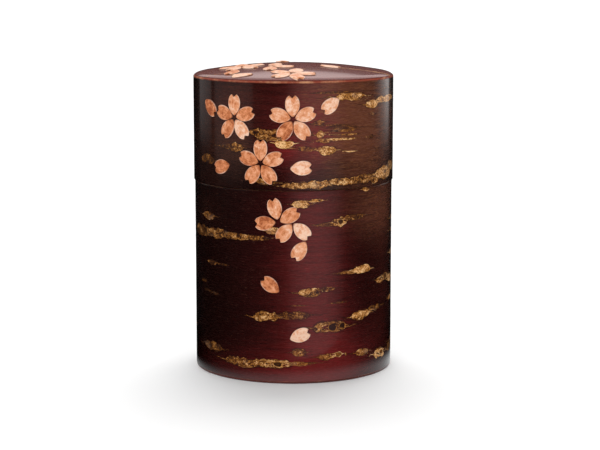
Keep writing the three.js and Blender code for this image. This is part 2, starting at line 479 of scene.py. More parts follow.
# a plain board as wide and as thick as its node
def plainBoard(name, rounding, material, body, node):
    turnedPiece(name, softCorners(disc(*measured(node)), rounding, False), material, body, node)


# bark marks, the long golden breathing pores of cherry bark: around in degrees from the front,
# height in mm, half length in degrees, half height in mm, tone from dim 0 to bright 1, and rings
# from 0 to 1, or more than 1 for a dark eye
lidMarks = [
    (33, 111.3, 11, 1.5, 0.62, 0.5), (22, 113.2, 14, 0.5, 0.1, 0), (50, 107.9, 6.5, 1.5, 0.8, 0.3),
    (66, 109.3, 13, 1.3, 0.7, 0.3), (14.2, 101.7, 3.6, 1.1, 0.22, 0.8), (15, 97.2, 2.6, 1.4, 0.55, 0.2),
    (-14, 97.6, 11, 2.2, 0.4, 0.7), (-21, 98, 5, 1, 0.4, 0.2), (-5, 93.9, 6, 1.7, 0.85, 0.2),
    (-33, 91.9, 5, 1.7, 0.38, 0.6), (-39, 91.9, 9, 0.7, 0.15, 0), (19, 91, 5.6, 1.7, 0.7, 0.8),
    (8, 91.8, 6, 0.8, 0.2, 0), (27, 95.2, 11, 0.45, 0.75, 0.9), (17, 94.8, 5, 0.7, 0.35, 0),
    (49, 95.2, 2.2, 0.9, 0.25, 0), (30, 99.4, 8, 0.9, 0.12, 0.3), (-57, 86, 8, 1.8, 0.2, 0.5),
    (-17, 79.4, 5, 1.3, 0.4, 0.3), (1.5, 77.9, 9, 1.3, 0.5, 0.9), (14, 78.2, 7, 1.7, 0.55, 0.8),
    (27, 78.6, 10, 1.5, 0.5, 0.9), (41, 79.2, 9, 1.7, 0.3, 0.7), (52, 78.2, 5, 1.3, 0.5, 0.4),
    (63, 80.4, 11, 2.5, 0.62, 0.9), (75, 82.6, 7, 2, 0.45, 0.6), (66, 113.4, 7, 0.5, 0.05, 0.8),
    (50, 104, 2, 0.6, 0.2, 0), (-38, 99.5, 1.8, 0.6, 0.15, 0), (34, 90.2, 4, 0.25, 0.9, 0),
    (29, 98.4, 9, 0.45, 0.3, 0), (24, 100.6, 8, 0.35, 0.2, 0), (32, 96.9, 8, 0.3, 0.45, 0),
]
bodyMarks = [
    (45, 74.8, 3, 0.8, 0.65, 0), (4, 70.6, 5.5, 1.5, 0.62, 0.8), (12.5, 71.9, 5, 0.6, 0.75, 0),
    (-57, 63.7, 7, 1.6, 0.32, 0.5), (-67, 57, 12, 2.3, 0.2, 0.6), (-50, 57.2, 12, 2, 0.3, 0.7),
    (-34, 57, 12, 1.3, 0.34, 0.4), (-20, 57.2, 8, 1, 0.3, 0.2), (-11.5, 60.2, 4.2, 1.5, 0.75, 0.2),
    (27, 63.2, 5.5, 2, 0.55, 0.6), (27.4, 63.2, 2.2, 1.2, 0.75, 1.6), (37, 64.6, 8, 1.1, 0.2, 0.4),
    (17, 62.4, 7, 0.6, 0.15, 0), (-54, 45.4, 5, 1, 0.22, 0.2), (-43, 45.2, 3, 0.5, 0.12, 0),
    (43, 43.5, 7.5, 1.7, 0.85, 0.4), (31, 42.9, 7, 0.6, 0.35, 0), (60, 37.9, 5, 1.4, 0.5, 0.3),
    (67, 38.3, 3.6, 1.5, 0.85, 1.6), (77, 36.6, 6, 1.6, 0.8, 0.4), (9.5, 36.3, 7.5, 1.8, 0.55, 0.6),
    (13.5, 36.1, 1.3, 0.7, 0.3, 1.6), (20, 37.2, 5, 0.7, 0.25, 0), (-16, 26.5, 8.5, 2, 0.48, 0.7),
    (0, 27.2, 10, 1.5, 0.16, 1), (42, 25.3, 8, 1.7, 0.7, 0.5), (55, 27.2, 8, 0.9, 0.35, 0.1),
    (77, 28.6, 5, 0.9, 0.6, 0), (21.5, 22, 11.5, 2.2, 0.4, 1), (22.6, 22, 3.2, 1.8, 0.45, 1.6),
    (28.6, 22.4, 2.4, 1.3, 0.6, 1.6), (26, 31.4, 5, 0.4, 0.3, 0), (-54, 11.6, 10, 2, 0.25, 0.7),
    (-30, 7.6, 14, 2, 0.42, 0.8), (-12, 8, 12, 1.7, 0.62, 0.9), (-9, 7.8, 3.2, 1.3, 0.8, 1.6),
    (5, 8, 9, 0.7, 0.35, 0.3), (3.2, 12.6, 4.5, 1.5, 0.32, 0.6), (19, 10.4, 6, 1.3, 0.4, 0.5),
    (26.5, 10.9, 2.6, 1.2, 0.98, 1.6), (43, 10.4, 6, 1.4, 0.45, 0.5), (60, 7.9, 7.5, 1.9, 0.8, 0.6),
    (62, 8, 3, 1.2, 0.95, 1.6), (76, 8.4, 4.5, 1.7, 0.4, 0.2), (-50, 33, 3, 0.5, 0.15, 0),
    (3, 31, 5, 0.3, 0.25, 0), (-63, 37, 3.5, 0.7, 0.2, 0), (-60, 33.6, 4, 0.5, 0.15, 0),
]
crownMarks = [  # across and back in mm, half length in mm, half width in mm, tone, rings
    (28, -11.5, 13, 1.2, 0.7, 0.2), (-30, -20, 7, 0.9, 0.3, 0.2), (12, 8, 9, 1.4, 0.5, 0.5),
    (-12, 22, 11, 1.6, 0.5, 0.6), (17, 26, 8, 1.2, 0.4, 0.3), (-27, 9, 7, 1.1, 0.5, 0.4),
    (6, -20, 6, 0.7, 0.25, 0), (2, 33, 7, 0.9, 0.4, 0.2),
]


scattered = {
    "around": (86, 274), "edgeMargin": 2.0, "apartAround": 16, "apartUp": 4.5,
    "halfLength": (4, 15), "halfHeight": (0.7, 2.0), "tone": (0.25, 0.85), "rings": (0.1, 0.9),
}


# marks scattered round the back, so that no side is bare
def scatteredMarks(seed, count, low, high):
    rng = np.random.default_rng(seed)
    margin = scattered["edgeMargin"]
    marks = []
    while len(marks) < count:
        around = rng.uniform(*scattered["around"])
        height = rng.uniform(low + margin, high - margin)
        if any(abs(around - m[0]) < scattered["apartAround"] and abs(height - m[1]) < scattered["apartUp"]
               for m in marks):
            continue
        shape = (rng.uniform(*scattered[label]) for label in ("halfLength", "halfHeight", "tone", "rings"))
        marks.append((around, height, *shape))
    return marks


# each place's own mark: how far along it and up from its middle, in half lengths and half heights,
# and a reach of 1 in its heart, 0 at its edge and down to -1 outside; a mark is a lens with thin
# tails, and turn is the length once round where the marks lie on a wall
def markField(across, up, marks, seed, turn=None):
    rng = np.random.default_rng(seed)
    fields = {label: np.zeros_like(across) for label in ("markTone", "markRings", "markSeed")}
    fields.update({"markAlong": np.full_like(across, 3.0), "markUp": np.full_like(across, 3.0),
                   "markReach": np.full_like(across, -1.0)})
    for markAcross, markUp, halfLength, halfHeight, tone, rings in marks:
        offset = across - markAcross
        if turn:
            offset = (offset + turn / 2) % turn - turn / 2
        along, rise = offset / halfLength, (up - markUp) / halfHeight
        lens = 1 - np.abs(along) ** 1.8 - np.abs(rise) ** 1.7
        tails = 0.5 - 0.5 * np.abs(along / 1.8) ** 1.5 - np.abs(rise) * 0.8
        reach = np.maximum(lens, tails)
        nearer = reach > (fields["markReach"] if rings <= 1 else -0.1)  # an eye lies over what it sits in
        for label, value in (("markAlong", along), ("markUp", rise), ("markReach", reach),
                             ("markTone", tone), ("markRings", rings), ("markSeed", rng.uniform(0, 9))):
            fields[label] = np.where(nearer, value, fields[label])
    return fields


# soft round stains of a colour, where the body's tall front wine stain is partly a painted sheen:
# degrees from the front, height in mm, width in degrees, height of the stain in mm and strength
def stainsAndSheen(around, z, spots):
    amount = np.zeros_like(z)
    for middle, height, wide, high, strength in spots:
        turned = np.angle(np.exp(1j * (around - math.radians(middle))))
        amount += strength * np.exp(-(turned / math.radians(wide)) ** 2 - ((z - height) / high) ** 2)
    return amount


def giveAttributes(piece, fields):
    for name, values in fields.items():
        piece.data.attributes.new(name, "FLOAT", "POINT").data.foreach_set("value", values.astype(np.float32))


def vertexPlaces(piece):
    places = np.empty(len(piece.data.vertices) * 3)
    piece.data.vertices.foreach_get("co", places)
    return places.reshape(-1, 3).T / mm


cutWidth = {"wall": 0.34, "crown": 0.6}  # mm that a sheet's pale cut edge shows


# edges are the heights of a wall's cut edges, each with how pale it is
def markWall(piece, radius, marks, edges, wine, umber, seed):
    x, y, z = vertexPlaces(piece)
    around = np.arctan2(x, -y)
    placed = [(math.radians(middle) * radius, height, math.radians(halfLength) * radius, *rest)
              for middle, height, halfLength, *rest in marks]
    fields = markField(radius * around, z, placed, seed, 2 * math.pi * radius)
    cut = np.zeros_like(z)
    for edge, pale in edges:
        cut = np.maximum(cut, np.clip(1 - np.abs(z - edge) / cutWidth["wall"], 0, 1) * pale)
    giveAttributes(piece, {**fields, "cutEdge": cut, "wine": stainsAndSheen(around, z, wine),
                           "umber": stainsAndSheen(around, z, umber)})


# cutRadius is the radius of a cut edge that shows
def markFlat(piece, marks, seed, cutRadius=None, wine=0.45, umber=0.35):
    x, y = vertexPlaces(piece)[:2]
    cut = np.zeros_like(x)
    if cutRadius is not None:
        cut = np.clip(1 - np.abs(np.hypot(x, y) - cutRadius) / cutWidth["crown"], 0, 1)
    giveAttributes(piece, {**markField(x, y, marks, seed), "cutEdge": cut,
                           "wine": np.full_like(x, wine), "umber": np.full_like(x, umber)})


# finishes
bark = {
    "black": (0.0078, 0.001, 0.0006),
    "brown": (0.115, 0.035, 0.018),
    "wine": (0.13, 0.009, 0.0085),
    "red": (0.24, 0.008, 0.012),
    "paleDash": (0.26, 0.12, 0.08),
    "fleck": (0.26, 0.095, 0.03),
    "cutEdge": (0.3, 0.055, 0.028),
    "cutEdgePale": (0.58, 0.27, 0.14),
    "halo": (0.01, 0.003, 0.002),  # the dark bark round a mark
    "joint": (0.003, 0.0015, 0.0015),
    "stone": (0.3, 0.185, 0.125),
    "jointFrom": 30.0,  # mm back from the axis, past which a wrapped sheet's butt joint shows
    "roughness": 0.27,
    "specular": 0.18,
    "coat": 0.75,
    "coatRoughness": 0.06,
    "relief": 0.03 * mm,
}
# the colours of a mark, from its darkest pores to its brightest threads
gold = [(0.0, (0.01, 0.0025, 0.001)), (0.24, (0.04, 0.011, 0.002)), (0.4, (0.16, 0.05, 0.005)),
        (0.54, (0.31, 0.108, 0.011)), (0.68, (0.45, 0.175, 0.028)), (0.82, (0.6, 0.275, 0.068)),
        (0.95, (0.82, 0.51, 0.24))]


# scales a colour's brightness
def dimmed(graph, colour, factor):
    return graph.vector("MULTIPLY", colour, graph.combine(factor, factor, factor))


# noise squeezed upwards by a factor, with its settings in the order that noise takes them
def squeezedNoise(graph, vector, squeeze, *settings):
    return graph.noise(graph.vector("MULTIPLY", vector, (1.0, 1.0, squeeze)), *settings)


# a wrapped sheet has a butt joint down the back
def polishedBark(name, stretch, wrapped=False):
    material, graph = newMaterial(name)
    flat = millimetres(graph)
    streaked = millimetres(graph, stretch)
    along, up, reach, tone, rings, seed, cutEdge, wine, umber = (
        graph.add("ShaderNodeAttribute", {"attribute_name": label}, output="Fac")
        for label in ("markAlong", "markUp", "markReach", "markTone", "markRings", "markSeed",
                      "cutEdge", "wine", "umber"))

    # the bark itself: near black, stained brown and wine, with fine lines drawn along it; on the body's
    # front the wine is partly a painted sheen
    broad = graph.noise(streaked, 0.075, 5.0, 0.6, 0.5)
    fine = graph.noise(streaked, 0.42, 6.0, 0.7)
    hair = squeezedNoise(graph, streaked, 2.0, 0.5, 5.0, 0.75)
    umberAmount = graph.soften(umber + (broad - 0.5) * umber * 1.5, 0.0, 1.0)
    wineAndSheenAmount = graph.soften(wine + (broad - 0.5) * wine * 1.2, 0.0, 1.0)
    colour = graph.blendColour(umberAmount, bark["black"], bark["brown"])
    colour = graph.blendColour(wineAndSheenAmount, colour, bark["wine"])
    colour = dimmed(graph, colour, fine * 1.1 + hair * 0.9)
    redLines = graph.soften(graph.noise(streaked, 0.26, 5.0, 0.65), 0.53, 0.68)
    redLines = redLines * graph.soften(wine, 0.3, 0.9)
    colour = graph.blendColour(redLines * 0.7, colour, bark["red"])
    flecks = graph.soften(graph.noise(streaked, 0.33, 4.0, 0.65, 0.3), 0.52, 0.64)
    flecks = flecks * graph.soften(umber, 0.1, 0.7)
    colour = graph.blendColour(flecks * 0.42, colour, bark["fleck"])
    dashes = graph.soften(graph.noise(streaked, 0.62, 3.0, 0.6), 0.65, 0.73)
    colour = graph.blendColour(dashes * 0.5, colour, bark["paleDash"])

    # the marks: lens shapes with a wandering middle line, a swelling body and thin tails
    drift = graph.vector("ADD", flat, graph.combine(seed, seed, seed))
    wander = squeezedNoise(graph, drift, 0.3, 0.2, 2.0, 0.5)
    swell = squeezedNoise(graph, drift, 0.2, 0.3, 2.0, 0.5, 0.3)
    ragged = squeezedNoise(graph, drift, 1.7, 0.8, 5.0, 0.65)
    away = abs(along)
    offLine = abs(up + (wander - 0.5) * 1.5)
    body = 1 - (away * 1.12) ** 2.3 - (offLine / (swell * 1.3 + 0.35)) ** 2.0
    tail = (1 - (away * 0.62) ** 1.6 - offLine * 4.6) * 0.42
    strength = graph.math("MAXIMUM", body, tail)
    strength = graph.math("MINIMUM", strength, reach + 0.3) + (ragged - 0.5) * 0.34
    inside = graph.soften(strength, 0.02, 0.1)
    halo = graph.soften(strength, -0.5, 0.04) * (1 - inside)

    # inside them: blotches, curling pale threads with dark gaps, dark pores, grains of gold,
    # stony patches and dark eyes
    blotches = squeezedNoise(graph, drift, 1.6, 0.4, 4.0, 0.6, 1.0)
    curls = squeezedNoise(graph, drift, 1.4, 0.5, 2.0, 0.5, 1.6)
    turns = graph.math("FRACT", strength * 0.9 + curls * 3.6)
    threads = 1 - graph.soften(abs(turns - 0.5), 0.05, 0.22)
    gaps = graph.soften(abs(turns - 0.5), 0.38, 0.47)
    grains = graph.noise(drift, 1.7, 4.0, 0.75, 0.4)
    pores = graph.soften(graph.noise(drift, 0.95, 2.0, 0.5, 0.6), 0.58, 0.66)
    eye = graph.soften(rings, 1.1, 1.5)
    hole = graph.soften(strength, 0.3, 0.48) * eye
    shade = (0.55 + (blotches - 0.5) * 2.1 * (1 - eye) + (grains - 0.5) * 1.1 + (tone - 0.45) * 0.8
             + (threads - 0.3) * (rings * 0.2 + 0.2) * (1 - eye)
             - (pores * 0.34 + gaps * 0.22) * (1 - eye) - hole * 0.6)
    mineral = graph.ramp(shade, gold)
    stony = graph.soften(graph.noise(drift, 0.16, 3.0, 0.6), 0.56, 0.67) * (1 - eye) * 0.35
    mineral = graph.blendColour(stony, mineral, dimmed(graph, bark["stone"], grains * 1.5 + threads * 0.6))
    colour = graph.blendColour(halo * 0.6, colour, bark["halo"])
    colour = graph.blendColour(inside * (tone * 0.6 + 0.55), colour, mineral)

    # the butt joint down the back, and the bark's cut edges
    joint = 0.0
    if wrapped:
        across, back = graph.separate(flat)[:2]
        joint = 1 - graph.soften(abs(across + (broad - 0.5) * 0.5), 0.06, 0.22)
        joint = joint * (back > bark["jointFrom"])
        colour = graph.blendColour(joint * 0.85, colour, bark["joint"])
    patchy = graph.noise(flat, 0.13, 5.0, 0.7)
    edgeColour = graph.blendColour(graph.soften(patchy, 0.44, 0.7), bark["cutEdge"], bark["cutEdgePale"])
    cutAmount = graph.soften(cutEdge + (patchy - 0.5) * 0.8 * cutEdge, 0.25, 0.85)
    colour = graph.blendColour(cutAmount, colour, edgeColour)

    roughness = bark["roughness"] + (fine - 0.5) * 0.12 + inside * 0.08 + cutAmount * 0.2
    relief = fine * 0.1 + inside * grains * 0.5 - joint * 0.6 + hair * 0.05 + threads * inside * 0.15
    return finishMaterial(material, graph, {
        "Base Color": colour, "Roughness": roughness, "Specular IOR Level": bark["specular"],
        "Coat Weight": bark["coat"], "Coat Roughness": bark["coatRoughness"],
        "Normal": bump(graph, relief, bark["relief"])})


# the paler, unpolished inner faces: bark linings, and sawn wood veneer
lining = {"pale": (0.21, 0.105, 0.06), "dark": (0.085, 0.04, 0.022), "roughness": 0.5}
veneer = {"pale": (0.62, 0.43, 0.25), "dark": (0.42, 0.25, 0.12), "roughness": 0.6}


def bareWood(name, stretch, wood):
    material, graph = newMaterial(name)
    streaked = millimetres(graph, stretch)
    grain = graph.noise(streaked, 0.09, 6.0, 0.6, 0.4)
    pores = graph.soften(graph.noise(streaked, 0.8, 4.0, 0.6), 0.6, 0.72)
    clouds = graph.noise(millimetres(graph), 0.03, 2.0)
    dark = graph.soften(grain * 0.8 + clouds * 0.2, 0.35, 0.68)
    colour = graph.blendColour(dark, wood["pale"], wood["dark"])
    colour = graph.blendColour(pores * 0.45, colour, tuple(0.5 * c for c in wood["dark"]))
    return finishMaterial(material, graph, {
        "Base Color": colour, "Roughness": wood["roughness"] + (grain - 0.5) * 0.15,
        "Specular IOR Level": 0.35, "Normal": bump(graph, grain * 0.3 - pores * 0.5, 0.08 * mm)})


# grain runs round a wall and across a board, so a pattern is squeezed the other ways
wallStretch = (1.0, 1.0, 13.0)
boardStretch = (1.0, 11.0, 11.0)
lidBarkFinish = polishedBark("lidBark", wallStretch, wrapped=True)
bodyBarkFinish = polishedBark("bodyBark", wallStretch, wrapped=True)
crownBarkFinish = polishedBark("crownBark", boardStretch)
liningFinish = bareWood("liningBark", wallStretch, lining)
floorFinish = bareWood("floorBark", boardStretch, lining)
veneerFinish = bareWood("bareVeneer", wallStretch, veneer)
boardFinish = bareWood("bareBoard", boardStretch, veneer)
print("finishes ready")


# close rows of points carry the marks on a wall's outer face, and reach a little in from it
wallMesh = {"around": 260, "rowSpacing": 0.42, "reachIn": 0.1}


# a wrapped wall of bark
def barkWall(name, sizes, inner, marks, material, body, node, seed):
    outer, bottom, top = measured(node)
    outline = denser(softCorners(ring(inner, outer, bottom, top), sizes["rounding"]),
                     wallMesh["rowSpacing"], outer - wallMesh["reachIn"])
    piece = turnedPiece(name, outline, material, body, node, wallMesh["around"])
    markWall(piece, outer, marks, sizes["cutEdges"], sizes["wine"], sizes["umber"], seed)


# a flat sheet of bark, whose rows reach in to plainMiddle mm from the axis
def barkSheet(name, sizes, outline, closed, body, node, seed):
    outline = denser(softCorners(outline, sizes["rounding"], closed),
                     sizes["rowSpacing"], sizes["plainMiddle"])
    piece = turnedPiece(name, outline, crownBarkFinish, body, node, sizes["around"])
    markFlat(piece, sizes["marks"], seed)


canister = {
    "rounding": 0.22,
    "cutEdges": ((bodyBottom, 0.8), (seamHeight, 0.45)),  # their heights, and how pale they are
    # the first, tall stain at 12 degrees is partly the bark's own wine red and partly a painted sheen, where
    # the front light's sheen falls on the body
    "wine": [(12, 30, 22, 90, 0.66), (30, 8, 30, 14, 0.3), (-22, 3, 48, 10, 0.34),
             (-24, 40, 24, 70, 0.15), (62, 35, 26, 60, 0.2), (150, 30, 40, 30, 0.6),
             (-110, 55, 30, 22, 0.4)],
    "umber": [(56, 68, 36, 14, 0.5), (68, 35, 22, 50, 0.14), (-62, 66, 20, 8, 0.15),
              (-150, 20, 40, 20, 0.4)],
}
barkWall("bodyBark", canister, roundOutside("body_core_tube"),
         bodyMarks + scatteredMarks(7, 24, 0, seamHeight),
         bodyBarkFinish, "canister", "body_bark_wrap", 21)
plainTube("bodyCore", roundOutside("neck_sleeve"), veneerFinish, "canister", "body_core_tube")
plainTube("neckSleeve", roundOutside("neck_lining"), veneerFinish, "canister", "neck_sleeve")
plainTube("neckLining", roundOutside("floor_lining"), liningFinish, "canister", "neck_lining")

base = {
    "around": 160, "rowSpacing": 1.5, "plainMiddle": 2.0, "rounding": 0.25,
    "boardRounding": 0.2, "floorRounding": 0.1,
    "marks": [(-10, 14, 9, 1.3, 0.5, 0.5), (16, -9, 8, 1.2, 0.6, 0.3), (2, -26, 10, 1.4, 0.4, 0.5)],
}
barkSheet("baseBark", base, disc(*measured("base_bark")), False, "canister", "base_bark", 31)
plainBoard("baseBoard", base["boardRounding"], boardFinish, "canister", "base_board")
plainBoard("floorLining", base["floorRounding"], floorFinish, "canister", "floor_lining")
print("canister ready")

lid = {
    "rounding": 0.25, "liningThickness": 0.5,
    "cutEdges": ((lidEdge, 0.35), (rimHeight, 0.9)),
    "wine": [(-12, 100, 12, 30, 0.22), (-35, 108, 22, 16, 0.22), (4, 98, 12, 30, 0.4),
             (18, 104, 14, 22, 0.42), (-6, 93, 8, 5, 0.5), (14, 95, 6, 7, 0.35),
             (160, 100, 40, 20, 0.5), (-120, 90, 25, 20, 0.3)],
    "umber": [(30, 104, 26, 22, 0.62), (50, 96, 30, 30, 0.46), (14, 112, 14, 8, 0.3),
              (-45, 98, 28, 30, 0.2), (-30, 112, 14, 10, 0.12), (-32, 92, 16, 8, 0.2),
              (12, 95, 16, 6, 0.3), (180, 96, 60, 30, 0.4), (120, 100, 40, 20, 0.35),
              (-110, 98, 30, 30, 0.3)],
}
barkWall("lidBark", lid, roundOutside("lid_core_tube"),
         lidMarks + scatteredMarks(11, 14, lidEdge, rimHeight),
         lidBarkFinish, "lid", "lid_bark_wrap", 22)
plainTube("lidCore", roundOutside("lid_lining"), veneerFinish, "lid", "lid_core_tube")
plainTube("lidLining", measured("lid_lining")[0] - lid["liningThickness"], liningFinish,
          "lid", "lid_lining")

# the crown: a shallow dome of bark that turns down over a rounded shoulder, on a board
crown = {
    "around": wallMesh["around"], "barkThickness": 0.7, "leastHollow": 0.1,
    "shoulderReach": 3.0, "shoulderHeight": 1.2, "shoulderSteps": 12, "outerRings": 38, "innerRings": 9,
    "wine": 0.58, "umber": 0.45,
}
crownRise = crownTop - crownBottom - crown["shoulderHeight"]
shoulderStart = lidRadius - crown["shoulderReach"]


def crownHeight(radius):
    into = min(max(radius - shoulderStart, 0.0) / crown["shoulderReach"], 1.0)
    shoulder = crown["shoulderHeight"] * math.sqrt(max(0.0, 1 - into ** 2))
    return crownBottom + shoulder + crownRise * (1 - (radius / lidRadius) ** 2)


outer = []
for step in range(crown["shoulderSteps"] + 1):
    turned = math.radians(90 * step / crown["shoulderSteps"])
    r = lidRadius - crown["shoulderReach"] * (1 - math.cos(turned))
    outer.append((r, crownHeight(r)))
outer += [(r, crownHeight(r)) for r in np.linspace(shoulderStart, 0, crown["outerRings"])[1:]]
inner = [(r, crownHeight(r) - crown["barkThickness"])
         for r in np.linspace(0, shoulderStart, crown["innerRings"])]
inner = [(r, h) for r, h in inner if h > crownBottom + crown["leastHollow"]]
inner.append((lidRadius - crown["barkThickness"], crownBottom))
crownBark = turnedPiece("crownBark", inner + outer, crownBarkFinish, "lid", "crown_bark",
                        crown["around"])
markFlat(crownBark, crownMarks, 32, lidRadius, crown["wine"], crown["umber"])
boardRadius = roundOutside("lid_lining")
boardRim = rimHeight + glueGap
board = [(0.0, ceiling), (boardRadius, ceiling), (boardRadius, boardRim)]
board += [(r, max(h - glueGap, boardRim)) for r, h in reversed(inner)]
turnedPiece("crownBoard", board, boardFinish, "lid", "crown_board")
print("lid ready")

innerLid = {"skirtThickness": 1.3, "pegHole": 2.0, "discRounding": 0.25}
facing = {
    "around": 160, "rowSpacing": 1.2, "plainMiddle": 1.0, "rounding": 0.2,
    "marks": [(-18, 8, 9, 1.3, 0.6, 0.6), (15, -14, 10, 1.5, 0.7, 0.6), (16, 18, 7, 1.0, 0.4, 0.3),
              (-12, -22, 8, 1.1, 0.5, 0.4)],
}
plainTube("innerLidSkirt", measured("inner_lid_plug")[0] - innerLid["skirtThickness"], veneerFinish,
          "inner_lid", "inner_lid_plug")
outline = softCorners(ring(innerLid["pegHole"], *measured("inner_lid_disc")), innerLid["discRounding"])
turnedPiece("innerLidDisc", outline, boardFinish, "inner_lid", "inner_lid_disc")
barkSheet("innerLidFacing", facing, ring(innerLid["pegHole"], *measured("inner_lid_facing")), True,
          "inner_lid", "inner_lid_facing", 33)

knob = {
    "around": 64, "pegRadius": 1.95, "marks": [(2, 1, 4, 0.8, 0.6, 0.6)],
    # radius and height above the facing, from its foot past its waist and round its cap
    "outline": [(4.0, 0.0), (3.6, 0.7), (3.4, 1.6), (4.2, 2.4), (6.2, 3.0), (6.8, 3.6), (7.0, 4.2),
                (6.8, 4.8), (5.9, 5.25), (4.4, 5.48), (2.4, 5.58)],
}
foot = facingTop + glueGap
outline = [(0.0, knobBottom), (knob["pegRadius"], knobBottom), (knob["pegRadius"], foot)]
outline += [(r, foot + h) for r, h in knob["outline"]] + [(0.0, knobTop)]
innerLidKnob = turnedPiece("innerLidKnob", outline, crownBarkFinish, "inner_lid", "inner_lid_knob",
                           knob["around"])
markFlat(innerLidKnob, knob["marks"], 34)
print("inner lid ready")

# petals: one tree lays every petal of a body on its wall or crown
petalForm = {
    "crowding": 0.35,  # how much closer the rows of points get towards the tip
    "fullness": 0.42,  # 1 for a round back, and less for a flatter one with steeper sides
    "crowned": 0.22,  # how much lower the back is at the sides than in the middle
    "startRise": 10, "tipRise": 26,  # how steeply the two ends rise
    "notchPower": 6,  # how close to the tip the notch stays
    # how far along, and how wide there as a share of the half width
    "outline": [(0.0, 0.03), (0.13, 0.44), (0.3, 0.81), (0.46, 0.97), (0.6, 1.0), (0.75, 0.93),
                (0.87, 0.78), (0.94, 0.59), (1.0, 0.36)],
}
petalTree, graph, given = newGeometryTree("petalInlay", [
    ("Length", "Float"), ("Half Width", "Float"), ("Notch", "Float"), ("Thickness", "Float"),
    ("Sink", "Float"), ("Wall Radius", "Float"), ("On Crown", "Float"), ("Crown Bottom", "Float"),
    ("Crown Rise", "Float"), ("Shoulder Height", "Float"), ("Shoulder Reach", "Float"),
    ("Along", "Int"), ("Across", "Int"), ("Material", "Material")])

# each row is a loop round the petal, and the rows are closer together towards its tip
sheetGrid, row, place = numberedGrid(graph, given["Along"] + 1, given["Across"] + 1)
even = row / given["Along"]
along = (graph.math("SINE", even * (math.pi / 2)) * petalForm["crowding"]
         + even * (1 - petalForm["crowding"]))
around = place / given["Across"] * (2 * math.pi)
side = graph.math("COSINE", around)
rise = graph.math("MAXIMUM", graph.math("SINE", around), 0.0) ** petalForm["fullness"]
width = graph.add("ShaderNodeFloatCurve", {"curve": petalForm["outline"]}, {"Value": along})
start = graph.math("MINIMUM", along * petalForm["startRise"], 1.0)
tip = graph.math("MINIMUM", (1.0 - along) * petalForm["tipRise"], 1.0)
lift = (start * tip) ** 0.5 * rise
notch = given["Notch"] * (1.0 - abs(side)) * along ** petalForm["notchPower"]
petalX = along * given["Length"] - notch
petalY = side * width * given["Half Width"]
thick = given["Thickness"] + given["Sink"]
petalZ = lift * thick * (1.0 - side * side * petalForm["crowned"]) - given["Sink"]
petal = graph.add("GeometryNodeSetPosition", inputs={
    "Geometry": sheetGrid, "Position": graph.combine(petalX, petalY, petalZ)})
for label, value in (("petalAlong", along), ("petalSide", side), ("petalLift", lift)):
    petal = graph.add("GeometryNodeStoreNamedAttribute", {"data_type": "FLOAT", "domain": "POINT"},
                      {"Geometry": petal, "Name": label, "Value": value})

# a petal on every point, then turned, sized and bent onto the wall or the crown
laid = graph.add("GeometryNodeInstanceOnPoints", inputs={"Points": given["Geometry"], "Instance": petal})
laid = graph.add("GeometryNodeRealizeInstances", inputs={"Geometry": laid})
placed = {label: graph.add("GeometryNodeInputNamedAttribute", {"data_type": "FLOAT"}, {"Name": label})
          for label in ("turn", "across", "up", "size")}
flatX, flatY, flatZ = graph.separate(graph.add("GeometryNodeInputPosition"))
cosine, sine = graph.math("COSINE", placed["turn"]), graph.math("SINE", placed["turn"])
across = (flatX * cosine - flatY * sine) * placed["size"]
up = (flatX * sine + flatY * cosine) * placed["size"]
bend = placed["across"] + across / given["Wall Radius"]
out = given["Wall Radius"] + flatZ
onWall = graph.combine(out * graph.math("SINE", bend), -(out * graph.math("COSINE", bend)), placed["up"] + up)
crownX, crownY = placed["across"] + across, placed["up"] + up
fromAxis = (crownX * crownX + crownY * crownY) ** 0.5
into = (fromAxis - given["Wall Radius"] + given["Shoulder Reach"]) / given["Shoulder Reach"]
into = graph.math("MINIMUM", graph.math("MAXIMUM", into, 0.0), 1.0)
domed = (given["Crown Bottom"] + given["Shoulder Height"] * (1.0 - into * into) ** 0.5
         + given["Crown Rise"] * (1.0 - (fromAxis / given["Wall Radius"]) ** 2.0))
onCrown = graph.combine(crownX, crownY, domed + flatZ)
final = graph.add("ShaderNodeMix", {"data_type": "VECTOR"}, {0: given["On Crown"], 4: onWall, 5: onCrown}, 1)
closeTree(graph, graph.add("GeometryNodeSetPosition", inputs={"Geometry": laid, "Position": final}),
          given["Material"], 0.004 * mm)

petalSizes = {
    "Length": 8.6 * mm, "Half Width": 2.85 * mm, "Notch": 1.15 * mm, "Thickness": 0.62 * mm,
    "Sink": 0.04 * mm, "Along": 26, "Across": 40,
}
flowerStart = 0.8  # mm from a flower's heart to where its petals begin
petalSpread = (0.97, 1.0)  # the smallest and largest petal, as shares of the full size
petalColours = {
    "tints": [(0.0, (0.34, 0.078, 0.022)), (0.2, (0.52, 0.155, 0.048)), (0.45, (0.69, 0.255, 0.108)),
              (0.7, (0.78, 0.365, 0.2)), (1.0, (0.89, 0.58, 0.42))],
    # partly the petals' own pale edge colour and partly a painted highlight along their edges
    "rim": (0.95, 0.68, 0.54),
    "speck": (0.27, 0.085, 0.04),
    "heart": (0.36, 0.11, 0.05),
    # painted shade: the dark colour of a petal's low sides, where it meets the bark
    "wall": (0.24, 0.085, 0.05),
}


